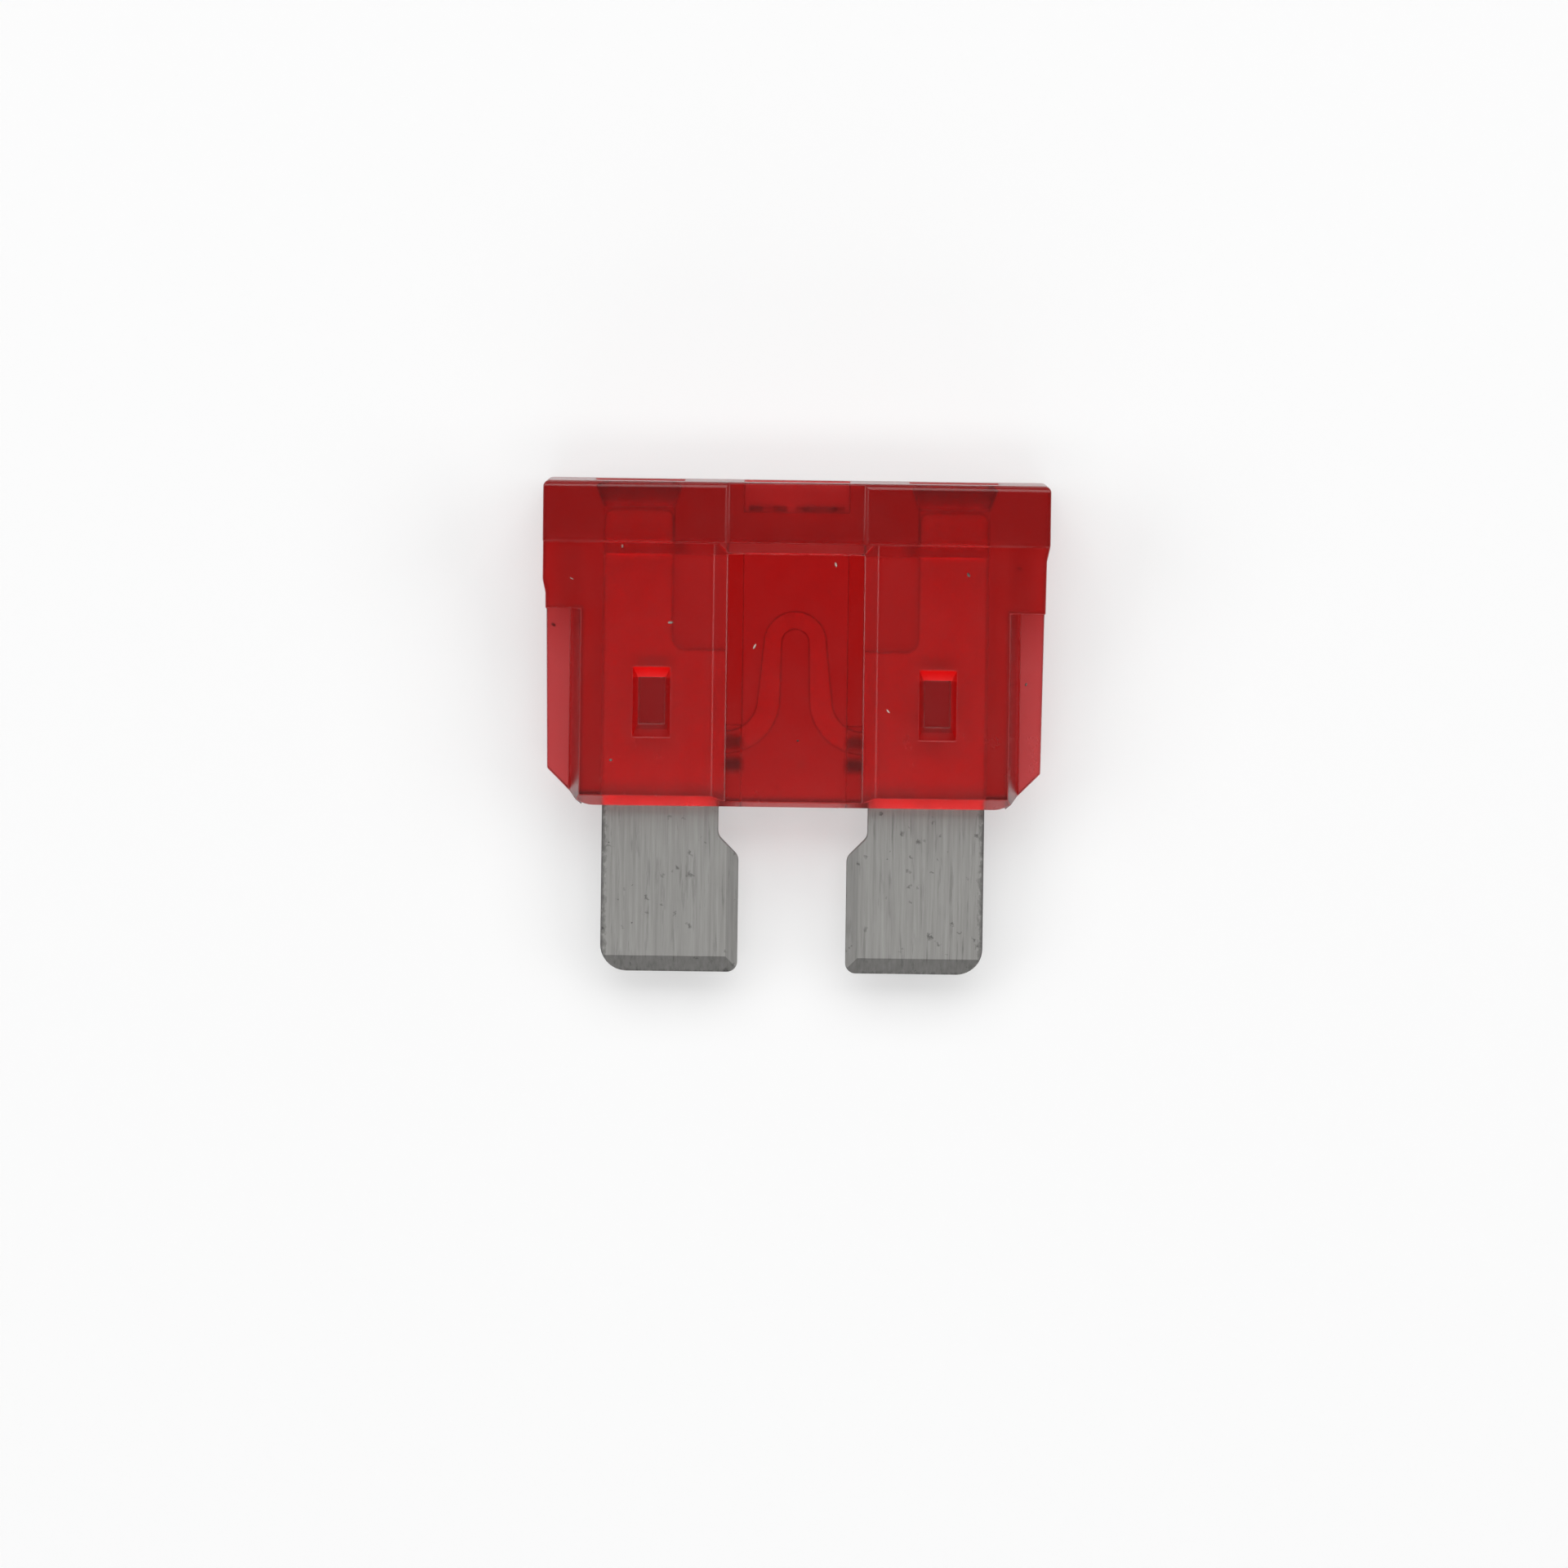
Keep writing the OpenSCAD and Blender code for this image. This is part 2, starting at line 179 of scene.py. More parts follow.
class FuseHousingSettings(bpy.types.PropertyGroup):
    """Edges and plastic of the housing, with tints that paint shade and light into the plastic."""

    edge: length("Edge", "Width of the small rounding on the moulded edges", 0.00004)
    # Painted shade: the head is tinted darker than the body, standing in for the shade under the head where
    # it rests on the floor.
    face: colour("Face", "Tint of the head where light enters and leaves it", (0.84, 0.76, 0.76))
    # Painted shade: the fins are tinted darker, more so at their tops, standing in for the shade on and under
    # them.
    fin_painted_shade: colour("Fin face", "Tint of the fins", (0.73, 0.8, 0.82))
    fin_top_painted_shade: colour("Fin top face", "Tint of the fins at their tops", (0.62, 0.42, 0.42))
    face_body: colour("Body face", "Tint of the body between the fins", (0.95, 0.88, 0.88))
    face_pale: colour("Pale face", "Tint of the paler flow marks in the plastic", (0.98, 0.94, 0.94))
    # Painted light: the head is tinted paler over the tabs, standing in for light that falls onto them.
    tab_painted_light: colour("Tab face", "Tint of the head over the tabs", (1.0, 0.95, 0.95))
    # Painted shade: the dimples are tinted darker, standing in for the shade seen through the stakes near the
    # floor.
    dimple_painted_shade: colour("Dimple face", "Tint of the dimples over the stakes", (0.62, 0.48, 0.48))
    # Painted shade: the root pits are tinted dark, standing in for the shade inside them.
    root_painted_shade: colour("Root face", "Tint of the pits beside the link's roots", (0.5, 0.3, 0.3))
    head_height: length("Head height", "Height of the head, from its top", 0.0023)
    body_half: length("Body half-width", "Distance of the fins from the middle of the fuse", 0.0081)
    fin_top: length("Fin top", "Distance of the fins' tops below the top of the head", 0.00485)
    # The painted shade on the fins deepens over this height.
    fin_fade: length("Fin fade", "Height over which the fins grow darker towards their tops", 0.0022)
    window_half: length("Window half-width", "Half the width of the window with its slopes", 0.0031)
    tab_side: length("Tab side", "Distance of the tabs from the middle of the fuse", 0.00595)
    tab_half: length("Tab half-width", "Half the width of a tab", 0.0013)
    tab_top: length("Tab top", "Distance of the tabs below the top of the head", 0.0011)
    # The painted light over the tabs ends at this distance below the head's top.
    tab_low: length("Tab low", "Distance of the end of the clear plastic below the top of the head", 0.0021)
    dimple_side: length("Dimple side", "Distance of the dimples from the middle of the fuse", 0.0054)
    dimple_half: length("Dimple half-width", "Half the width of a dimple", 0.00072)
    dimple_top: length("Dimple top", "Distance of the dimples' floors below the top of the head", 0.00745)
    dimple_low: length("Dimple low", "Distance of the dimples' lower ends below the top of the head", 0.00967)
    root_side: length("Root side", "Distance of the root pits from the middle of the fuse", 0.0023)
    root_half: length("Root half-width", "Half the width of a root pit", 0.00032)
    root_top: length("Root top", "Distance of the upper root pits below the top of the head", 0.00962)
    root_low: length("Root low", "Distance of the lower root pits' ends below the top of the head", 0.01096)
    root_gap: length("Root gap", "Space between the upper and the lower root pits", 0.00036)
    depth: colour("Depth", "Colour that light takes on inside the plastic", (0.9465, 0.0, 0.02))
    density: amount("Density", "How fast the plastic swallows light, per metre", 2300)
    flow: share("Flow marks", "Strength of the paler flow marks", 0.4)
    haze: share("Haze", "Roughness of the plastic at the open end", 0.26)
    window_haze: share("Window haze", "Roughness of the window at its top, before the polish", 0.18)
    polish: share("Polish", "How much smoother the plastic is in the head than at the open end", 0.02)
    scuffing: share("Scuffing", "How far scuffs change the roughness both ways", 0.02)


class FuseElementSettings(bpy.types.PropertyGroup):
    """Edges and metal of the stamped element, with painted light inside the housing and painted shade on
    slanted faces.
    """

    edge: length("Edge", "Width of the small rounding on the sheared edges", 0.00004)
    # Painted light: the metal in the head takes this colour to stand in for light falling on the tabs.
    bright: colour("Bright metal", "Colour of the metal in the head", (0.97, 0.965, 0.95))
    # Painted light: the metal inside the housing is unmarked, and lightened far above the blades' colour to
    # stand in for the light that reaches it through the plastic.
    clean: colour("Clean metal", "Colour of the metal inside the housing", (0.97, 0.965, 0.955))
    # The pale colour also serves as painted shade on the slanted faces inside the housing.
    pale: colour("Pale metal", "Colour of the paler rolling lines on the blades", (0.4, 0.395, 0.38))
    dull: colour("Dull metal", "Colour of the duller rolling lines on the blades", (0.305, 0.3, 0.287))
    # The pit colour is also the painted shade on slanted faces.
    pit: colour("Pits", "Colour of the pits, scratches and sheared edges", (0.07, 0.066, 0.066))
    shear: length("Sheared edge", "Width of the dark, ragged edge round the blades", 0.00018)
    shearing: share("Shearing", "Strength of the dark edge round the blades", 0.8)
    staining: share("Staining", "Strength of the dull stains", 0.3)
    scratching: share("Scratching", "Strength of the scratches", 0.45)
    pitting: share("Pitting", "Strength of the pits", 0.85)
    # Painted shade: faces that lean away from the front are darkened towards the pit colour.
    slant_shading: share("Coining", "How much darker the bevels and edges are", 0.3)
    smooth: share("Smooth metal", "Roughness of the metal between the stains", 0.46)
    rough: share("Rough metal", "Roughness of the stains", 0.56)


class FuseDustSettings(bpy.types.PropertyGroup):
    """Crumbs of dust and dirt on the plastic."""

    size: length("Crumb size", "Radius of the largest crumbs", 0.00014)
    density: amount("Density", "Crumbs to the square metre", 80000)
    seed: IntProperty(name="Seed", description="Starts the scatter of the crumbs", default=4)
    pale: colour("Pale crumbs", "Colour of the dust", (0.7, 0.62, 0.54))
    dark: colour("Dark crumbs", "Colour of the dirt", (0.05, 0.02, 0.02))
    patching: share("Patching", "Strength of the dark patches on a crumb", 0.4)
    smooth: share("Smooth crumbs", "Roughness of a crumb between its patches", 0.75)
    rough: share("Rough crumbs", "Roughness of the patches", 0.95)


class FuseStageSettings(bpy.types.PropertyGroup):
    """Floor, lights and camera."""

    floor: colour("Floor", "Colour of the floor", (0.95, 0.95, 0.95))
    floor_grain: colour("Floor grain", "Colour of the floor's darker grain", (0.85, 0.85, 0.85))
    graininess: share("Graininess", "Strength of the floor's grain", 0.03)
    floor_white: share("Floor white", "Share of plain white in the floor as it is seen", 0.4)
    floor_width: length("Floor width", "Width of the floor", 4.0)
    ceiling: amount("Ceiling", "Strength of the light from overhead", 0.08)
    walls: amount("Walls", "Strength of the light from the sides", 0.25)
    frame_width: length("Frame width", "Width of the pictured field at the fuse", 0.0594)
    lens: FloatProperty(
        name="Lens",
        description="Focal length in millimetres",
        default=200,
        min=1,
        subtype="DISTANCE_CAMERA",
    )
    roll: FloatProperty(
        name="Roll",
        description="Turn of the camera about its own line",
        default=radians(0.76),
        subtype="ANGLE",
    )
    shift: FloatVectorProperty(
        name="Shift",
        description="Offset of the picture, in picture widths",
        default=(-0.0065, -0.0371),
        size=2,
    )


def add(tree, kind, inputs=None, **settings):
    """Adds a node, with its settings and its inputs: a link where a socket is given, or else a value."""
    made = tree.nodes.new(kind)
    for name, value in settings.items():
        setattr(made, name, value)
    for name, value in (inputs or {}).items():
        if isinstance(value, bpy.types.NodeSocket):
            tree.links.new(value, made.inputs[name])
        else:
            made.inputs[name].default_value = value
    return made


def calculated(tree, operation, first, second=0.0):
    """A value worked out from one or two others."""
    return add(tree, "ShaderNodeMath", {0: first, 1: second}, operation=operation).outputs[0]


def combined(tree, operation, first, second):
    """A vector worked out from two others."""
    return add(tree, "ShaderNodeVectorMath", {0: first, 1: second}, operation=operation).outputs["Vector"]


def along(tree, first, second):
    """The dot product of two vectors."""
    return add(tree, "ShaderNodeVectorMath", {0: first, 1: second}, operation="DOT_PRODUCT").outputs["Value"]


def step(tree, value, low, high):
    """A mask that goes from 0 at the low value to 1 at the high one."""
    return add(tree, "ShaderNodeMapRange", {"Value": value, "From Min": low, "From Max": high}).outputs[0]


def under(tree, value, limit, border):
    """A mask that is 1 under the limit and 0 over it, with a soft border."""
    return step(tree, value, limit + border, limit - border)


def between(tree, mask, low, high):
    """A value that goes from low to high with the mask."""
    return add(tree, "ShaderNodeMapRange", {"Value": mask, "To Min": low, "To Max": high}).outputs[0]


def mixed(tree, factor, first, second):
    """A colour that goes from the first to the second with the mask."""
    return add(tree, "ShaderNodeMixRGB", {"Fac": factor, "Color1": first, "Color2": second}).outputs[0]


def opaque(rgb):
    """A colour setting with full alpha."""
    return (*rgb, 1)


def new_group(name, kind, inputs, outputs):
    """Makes a node group with the named sockets, and gives back its tree, input node and output node."""
    tree = bpy.data.node_groups.new(name, kind)
    for direction, sockets in (("INPUT", inputs), ("OUTPUT", outputs)):
        for socket, socket_type in sockets:
            tree.interface.new_socket(socket, in_out=direction, socket_type=socket_type)
    return tree, add(tree, "NodeGroupInput"), add(tree, "NodeGroupOutput")


def grain_group():
    """Streaked grain: a mask from 0 to 1, drawn out along the fuse by the stretch."""
    found = bpy.data.node_groups.get("Grain")
    if found:
        return found
    tree, given, out = new_group(
        "Grain",
        "ShaderNodeTree",
        [
            ("Vector", "NodeSocketVector"),
            ("Scale", "NodeSocketFloat"),
            ("Stretch", "NodeSocketFloat"),
            ("Low", "NodeSocketFloat"),
            ("High", "NodeSocketFloat"),
        ],
        [("Mask", "NodeSocketFloat")],
    )
    ask = given.outputs
    ratio = add(tree, "ShaderNodeCombineXYZ", {"X": 1, "Y": ask["Stretch"], "Z": 1})
    drawn = combined(tree, "MULTIPLY", ask["Vector"], ratio.outputs[0])
    noise = add(
        tree,
        "ShaderNodeTexNoise",
        {"Vector": drawn, "Scale": ask["Scale"], "Detail": 4, "Roughness": 0.6},
    )
    mask = step(tree, noise.outputs[0], ask["Low"], ask["High"])
    tree.links.new(mask, out.inputs["Mask"])
    return tree


def specks_group():
    """Scattered specks: a mask with a spot, 1 at its middle, in a share of the cells of a random pattern."""
    found = bpy.data.node_groups.get("Specks")
    if found:
        return found
    tree, given, out = new_group(
        "Specks",
        "ShaderNodeTree",
        [
            ("Vector", "NodeSocketVector"),
            ("Scale", "NodeSocketFloat"),
            ("Share", "NodeSocketFloat"),
            ("Radius", "NodeSocketFloat"),
        ],
        [("Mask", "NodeSocketFloat")],
    )
    ask = given.outputs
    ragged = add(tree, "ShaderNodeTexNoise", {"Vector": ask["Vector"], "Scale": 5000, "Detail": 4})
    wander = combined(tree, "SUBTRACT", ragged.outputs["Color"], NOISE_MIDDLE)
    reach = add(tree, "ShaderNodeVectorMath", {0: wander, "Scale": PIT_WANDER}, operation="SCALE")
    place = combined(tree, "ADD", ask["Vector"], reach.outputs[0])
    cells = add(tree, "ShaderNodeTexVoronoi", {"Vector": place, "Scale": ask["Scale"]})
    lot = add(tree, "ShaderNodeSeparateColor", {0: cells.outputs["Color"]}).outputs
    chosen = calculated(tree, "LESS_THAN", lot[0], ask["Share"])
    radius = calculated(tree, "MULTIPLY", lot[1], ask["Radius"])
    spot = step(tree, cells.outputs["Distance"], radius, 0)
    tree.links.new(calculated(tree, "MULTIPLY", spot, chosen), out.inputs["Mask"])
    return tree


def use_group(tree, group, **inputs):
    """Places a shader node group in a material and gives back its mask."""
    return add(tree, "ShaderNodeGroup", inputs, node_tree=group).outputs["Mask"]


def new_material(name):
    """Makes a material, and gives back it, its tree, shader and output, and the fuse's own coordinates."""
    made = bpy.data.materials.new(name)
    made.use_nodes = True
    tree = made.node_tree
    tree.nodes.clear()
    shader = add(tree, "ShaderNodeBsdfPrincipled")
    out = add(tree, "ShaderNodeOutputMaterial", {"Surface": shader.outputs[0]})
    place = add(tree, "ShaderNodeTexCoord")
    own = add(tree, "ShaderNodeMapping", {"Vector": place.outputs["Object"], "Rotation": (-LEAN, 0, 0)})
    return made, tree, shader, out, own.outputs[0]


def patch(tree, place, across, drop, border):
    """A mask of two patches, one on each side: their distance and half-width, and their top and bottom."""
    side, half_width = across
    top, low = drop
    aside = calculated(tree, "ABSOLUTE", place["X"])
    masks = []
    for value, middle, half in (
        (aside, side, half_width),
        (place["Y"], TOP_LEVEL - (top + low) / 2, (low - top) / 2),
    ):
        away = calculated(tree, "ABSOLUTE", calculated(tree, "SUBTRACT", value, middle))
        masks.append(under(tree, away, half, border))
    return calculated(tree, "MULTIPLY", *masks)


def painted_light_and_shade_patches(settings):
    """Place across, drop below the head's top, soft border and tint of each pair of patches: painted light
    over the tabs, painted shade in the dimples and root pits.
    """
    tab = (settings.tab_side, settings.tab_half)
    dimple = (settings.dimple_side, settings.dimple_half)
    root = (settings.root_side, settings.root_half)
    root_middle = (settings.root_top + settings.root_low) / 2
    upper_end = root_middle - settings.root_gap / 2
    lower_start = root_middle + settings.root_gap / 2
    return (
        # Painted light over the tabs, and painted shade in the dimples and the root pits:
        (tab, (settings.tab_top, settings.tab_low), TAB_BORDER, settings.tab_painted_light),
        (dimple, (settings.dimple_top, settings.dimple_low), DIMPLE_BORDER, settings.dimple_painted_shade),
        (root, (settings.root_top, upper_end), ROOT_BORDER, settings.root_painted_shade),
        (root, (lower_start, settings.root_low), ROOT_BORDER, settings.root_painted_shade),
    )


def red_plastic():
    """See-through red plastic, swallowing light by depth, with flow marks, scuffs and a faint ripple, and
    tints that paint shade on the head, fins, dimples and root pits and light over the tabs.
    """
    found = bpy.data.materials.get("see_through_red")
    if found:
        return found
    settings = bpy.context.scene.fuse_housing
    made, tree, shader, out, own = new_material("see_through_red")
    flow = use_group(tree, grain_group(), Vector=own, Scale=420, Stretch=0.5, Low=0.35, High=0.7)
    scuff = use_group(tree, grain_group(), Vector=own, Scale=1300, Stretch=0.6, Low=0.35, High=0.7)
    ripple = use_group(tree, grain_group(), Vector=own, Scale=2600, Stretch=1, Low=0.2, High=0.8)
    place = add(tree, "ShaderNodeSeparateXYZ", {0: own}).outputs
    aside = calculated(tree, "ABSOLUTE", place["X"])
    head_low = TOP_LEVEL - settings.head_height
    below_head = under(tree, place["Y"], head_low, HEAD_BORDER)
    within_fins = under(tree, aside, settings.body_half, SIDE_BORDER)
    body = calculated(tree, "MULTIPLY", below_head, within_fins)
    fin_top = TOP_LEVEL - settings.fin_top
    # Painted shade: the fins are darkened, and more so towards their tops.
    fin_high = step(tree, place["Y"], fin_top - settings.fin_fade, fin_top)
    fin_shade_tint = mixed(tree, fin_high, opaque(settings.fin_painted_shade), opaque(settings.fin_top_painted_shade))
    below_shoulder = under(tree, place["Y"], fin_top, SHOULDER_BORDER)
    fin = calculated(tree, "MULTIPLY", below_shoulder, calculated(tree, "SUBTRACT", 1, within_fins))
    # Painted shade: the head takes the darker face tint, and the body between the fins the paler one.
    tint = mixed(tree, body, opaque(settings.face), opaque(settings.face_body))
    marked = mixed(tree, between(tree, flow, 0, settings.flow), tint, opaque(settings.face_pale))
    patched = mixed(tree, fin, marked, fin_shade_tint)
    for across, drop, border, rgb in painted_light_and_shade_patches(settings):
        patched = mixed(tree, patch(tree, place, across, drop, border), patched, opaque(rgb))
    tree.links.new(patched, shader.inputs["Base Color"])
    high_up = step(tree, place["Y"], MOUTH_LEVEL, head_low)
    within_window = under(tree, aside, settings.window_half, SIDE_BORDER)
    upper_window = calculated(tree, "MULTIPLY", high_up, within_window)
    polished = calculated(tree, "MULTIPLY", upper_window, below_head)
    haze = between(tree, polished, settings.haze, settings.window_haze)
    cleared = calculated(tree, "SUBTRACT", haze, between(tree, high_up, 0, settings.polish))
    scuffed = between(tree, scuff, -settings.scuffing, settings.scuffing)
    tree.links.new(calculated(tree, "ADD", cleared, scuffed), shader.inputs["Roughness"])
    bump = add(tree, "ShaderNodeBump", {"Strength": 0.06, "Distance": RELIEF, "Height": ripple})
    tree.links.new(bump.outputs[0], shader.inputs["Normal"])
    shader.inputs["Transmission Weight"].default_value = 1
    shader.inputs["IOR"].default_value = 1.5
    shader.inputs["Specular IOR Level"].default_value = 0.35
    volume = add(
        tree, "ShaderNodeVolumeAbsorption", {"Color": opaque(settings.depth), "Density": settings.density}
    )
    tree.links.new(volume.outputs[0], out.inputs["Volume"])
    return made


def sheared_edge(tree, own, settings):
    """Mask of a ragged edge along the blades' outer sides and round their tips."""
    low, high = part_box("fuse_element")
    place = add(tree, "ShaderNodeSeparateXYZ", {0: own}).outputs
    from_side = calculated(tree, "SUBTRACT", high.x, calculated(tree, "ABSOLUTE", place["X"]))
    from_tip = calculated(tree, "SUBTRACT", place["Y"], low.y)
    nearest = calculated(tree, "MINIMUM", from_side, from_tip)
    ragged = use_group(tree, grain_group(), Vector=own, Scale=6000, Stretch=0.6, Low=0.3, High=0.7)
    reach = between(tree, ragged, SHEAR_LEAST * settings.shear, SHEAR_MOST * settings.shear)
    darkened = {"Value": nearest, "From Min": reach, "From Max": 0, "To Max": settings.shearing}
    return add(tree, "ShaderNodeMapRange", darkened).outputs[0]


def tinned_zinc():
    """Rolled metal, marked and dark-edged on the blades, with painted shade on slanted faces, unmarked inside
    the housing and lightened there and in the head as painted light.
    """
    found = bpy.data.materials.get("rolled_zinc")
    if found:
        return found
    settings = bpy.context.scene.fuse_element
    made, tree, shader, _, own = new_material("rolled_zinc")
    lines = use_group(tree, grain_group(), Vector=own, Scale=9000, Stretch=0.035, Low=0.3, High=0.7)
    stain = use_group(tree, grain_group(), Vector=own, Scale=700, Stretch=0.4, Low=0.4, High=0.75)
    scratch = use_group(tree, grain_group(), Vector=own, Scale=5200, Stretch=0.08, Low=0.57, High=0.75)
    pits = use_group(tree, specks_group(), Vector=own, Scale=3600, Share=0.13, Radius=0.6)
    pit = opaque(settings.pit)
    rolled = mixed(tree, lines, opaque(settings.dull), opaque(settings.pale))
    stained = mixed(tree, between(tree, stain, 0, settings.staining), rolled, opaque(settings.dull))
    scratched = mixed(tree, between(tree, scratch, 0, settings.scratching), stained, pit)
    pitted = mixed(tree, between(tree, pits, 0, settings.pitting), scratched, pit)
    edged = mixed(tree, sheared_edge(tree, own, settings), pitted, pit)
    # Painted shade: slanted faces are darkened towards the pit colour.
    slant_shade = add(tree, "ShaderNodeAttribute", attribute_name="slant_shade").outputs["Fac"]
    slant_shaded = mixed(tree, between(tree, slant_shade, 0, settings.slant_shading), edged, pit)
    height = add(tree, "ShaderNodeSeparateXYZ", {0: own}).outputs["Y"]
    # Painted light: above the open end the metal turns to its unmarked, lightened colour.
    covered = step(tree, height, MOUTH_LEVEL, MOUTH_LEVEL + CLEAN_AND_LIT_FADE)
    inside = mixed(tree, covered, slant_shaded, opaque(settings.clean))
    # Painted light: in the head the metal turns to its painted-light colour.
    head_low = TOP_LEVEL - bpy.context.scene.fuse_housing.head_height
    deep = step(tree, height, head_low, head_low + HEAD_LIGHT_FADE)
    head_lit = mixed(tree, deep, inside, opaque(settings.bright))
    # Painted shade: inside the housing the slanted faces take the darker pale colour instead of the painted
    # light.
    sheared = calculated(tree, "MULTIPLY", covered, slant_shade)
    tree.links.new(mixed(tree, sheared, head_lit, opaque(settings.pale)), shader.inputs["Base Color"])
    tree.links.new(between(tree, stain, settings.smooth, settings.rough), shader.inputs["Roughness"])
    bump = add(tree, "ShaderNodeBump", {"Strength": 0.15, "Distance": RELIEF, "Height": lines})
    tree.links.new(bump.outputs[0], shader.inputs["Normal"])
    shader.inputs["Metallic"].default_value = 1
    return made


def dust_material():
    """Crumbs, pale or dark by the tone each one was scattered with."""
    settings = bpy.context.scene.fuse_dust
    made, tree, shader, _, own = new_material("dust")
    tone = add(tree, "ShaderNodeAttribute", attribute_name="tone")
    patchy = use_group(tree, grain_group(), Vector=own, Scale=20000, Stretch=1, Low=0.3, High=0.7)
    dusty = mixed(tree, tone.outputs["Fac"], opaque(settings.dark), opaque(settings.pale))
    shaded = mixed(tree, between(tree, patchy, 0, settings.patching), dusty, opaque(settings.dark))
    tree.links.new(shaded, shader.inputs["Base Color"])
    tree.links.new(between(tree, patchy, settings.smooth, settings.rough), shader.inputs["Roughness"])
    return made


def flat_faces_soft_edges(mesh):
    """Shades every broad face flat, and lets the narrow ones run smoothly from one broad face to the next."""
    broad_at = {}
    for face in mesh.polygons:
        if face.area > BROAD_AREA:
            for corner in face.vertices:
                broad_at.setdefault(corner, []).append(face.normal.copy())
    smooth = [normal.vector.copy() for normal in mesh.vertex_normals]
    normals = []
    for face in mesh.polygons:
        for corner in face.vertices:
            broad = broad_at.get(corner, [])
            near = [normal for normal in broad if normal.dot(face.normal) > SHARED_SHADING]
            if face.area > BROAD_AREA:
                normals.append(face.normal.copy())
            elif near:
                normals.append(max(near, key=face.normal.dot))
            else:
                normals.append(smooth[corner])
    mesh.normals_split_custom_set(normals)


def rounded_copy(node, name, width):
    """Copies a CAD node's mesh as one closed skin with its flat faces whole and its sharp edges rounded."""
    skin = bmesh.new()
    skin.from_mesh(frame["nodes"][node].data)
    bmesh.ops.remove_doubles(skin, verts=skin.verts, dist=MERGE_DISTANCE)
    bmesh.ops.dissolve_limit(
        skin, angle_limit=FLAT_TURN, verts=skin.verts, edges=skin.edges, delimit={"NORMAL"}
    )
    bmesh.ops.recalc_face_normals(skin, faces=skin.faces)
    weight = skin.edges.layers.float.new("bevel_weight_edge")
    for edge in skin.edges:
        edge[weight] = edge.calc_face_angle() > SHARP_TURN
    mesh = bpy.data.meshes.new(name)
    skin.to_mesh(mesh)
    skin.free()
    piece = bpy.data.objects.new(name, mesh)
    bpy.context.scene.collection.objects.link(piece)
    rounding = piece.modifiers.new("Rounding", "BEVEL")
    rounding.limit_method = "WEIGHT"
    rounding.width = width
    rounding.segments = ROUNDING_STEPS
    rounding.use_clamp_overlap = False
    rounding.miter_outer = "MITER_SHARP"
    bpy.context.view_layer.update()
    rounded = bpy.data.meshes.new_from_object(piece.evaluated_get(bpy.context.evaluated_depsgraph_get()))
    piece.modifiers.clear()
    piece.data = rounded
    rounded.name = name
    rounded.shade_smooth()
    flat_faces_soft_edges(rounded)
    return piece


class FUSE_OT_housing(bpy.types.Operator):
    """Builds the see-through housing"""

    bl_idname = "fuse.housing"
    bl_label = "Build housing"

    def execute(self, context):
        piece = rounded_copy("housing", "fuse_housing", context.scene.fuse_housing.edge)
        piece.data.materials.append(red_plastic())
        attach(piece, "root")
        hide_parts("housing")
        return {"FINISHED"}


class FUSE_OT_element(bpy.types.Operator):
    """Builds the stamped element with its blades and link"""

    bl_idname = "fuse.element"
    bl_label = "Build element"

    def execute(self, context):
        piece = rounded_copy("fuse_element", "fuse_stamping", context.scene.fuse_element.edge)
        # Painted shade: faces that lean from the front are marked for darkening.
        slanted = [float(abs(face.normal.dot(FRONT)) < SLANT_SHADE_LEAN) for face in piece.data.polygons]
        slant_shade = piece.data.attributes.new("slant_shade", "FLOAT", "FACE")
        slant_shade.data.foreach_set("value", slanted)
        piece.data.materials.append(tinned_zinc())
        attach(piece, "root")
        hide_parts("fuse_element")
        return {"FINISHED"}


def random_vector(tree, low, high, seed):
    """A vector drawn between two others for each crumb."""
    drawn = add(tree, "FunctionNodeRandomValue", {0: low, 1: high, "Seed": seed}, data_type="FLOAT_VECTOR")
    return drawn.outputs[0]


